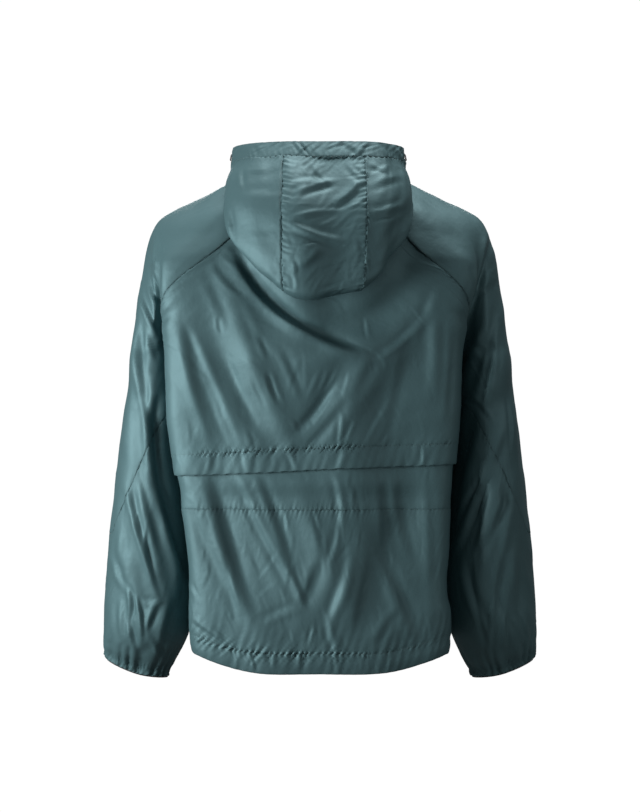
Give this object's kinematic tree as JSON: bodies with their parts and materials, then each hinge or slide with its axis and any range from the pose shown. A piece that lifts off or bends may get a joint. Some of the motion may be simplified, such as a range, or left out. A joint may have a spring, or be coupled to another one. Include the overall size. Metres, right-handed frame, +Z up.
{
  "type": "hooded windbreaker jacket",
  "caption": "Hooded zip-front windbreaker, hollow as worn, hood down: raglan sleeves, back vent flap, gathered elastic cuffs, cased hem.",
  "frame": {"origin": "between the wearer's shoulders, at the height of the shoulder points, on the plane through the shoulder ridge", "axes": "+Z up, +X the wearer's left, -Y the front of the jacket"},
  "size_m": [0.657, 0.3336, 0.7926],
  "materials": {
    "teal_nylon": "thin satin nylon",
    "black_trim": "matt black elastic, cord and zip tape",
    "nickel": "satin nickel"
  },
  "bodies": {
    "jacket": {"back_inset": "teal_nylon", "back_lower": "teal_nylon", "back_upper": "teal_nylon", "cuff_elastic_left": "black_trim", "cuff_elastic_right": "black_trim", "cuff_left": "teal_nylon", "cuff_right": "teal_nylon", "front_left": "teal_nylon", "front_right": "teal_nylon", "hood_band": "teal_nylon", "hood_centre": "teal_nylon", "hood_cord_left": "black_trim", "hood_cord_right": "black_trim", "hood_eyelet_left_lower": "nickel", "hood_eyelet_left_upper": "nickel", "hood_eyelet_right_lower": "nickel", "hood_eyelet_right_upper": "nickel", "hood_left": "teal_nylon", "hood_right": "teal_nylon", "sleeve_left_lower": "teal_nylon", "sleeve_left_upper": "teal_nylon", "sleeve_right_lower": "teal_nylon", "sleeve_right_upper": "teal_nylon", "zip_chain": "black_trim", "zip_slider": "nickel", "zip_tape_left": "black_trim", "zip_tape_right": "black_trim"},
    "pull_tab": {"zip_pull": "nickel"}
  },
  "joints": [
    {"name": "pull_tab_hinge", "type": "hinge", "parent": "jacket", "child": "pull_tab", "pos_m": [0, -0.10112, -0.03502], "axis": [-1, 0, 0], "range_deg": [0, 120]}
  ]
}
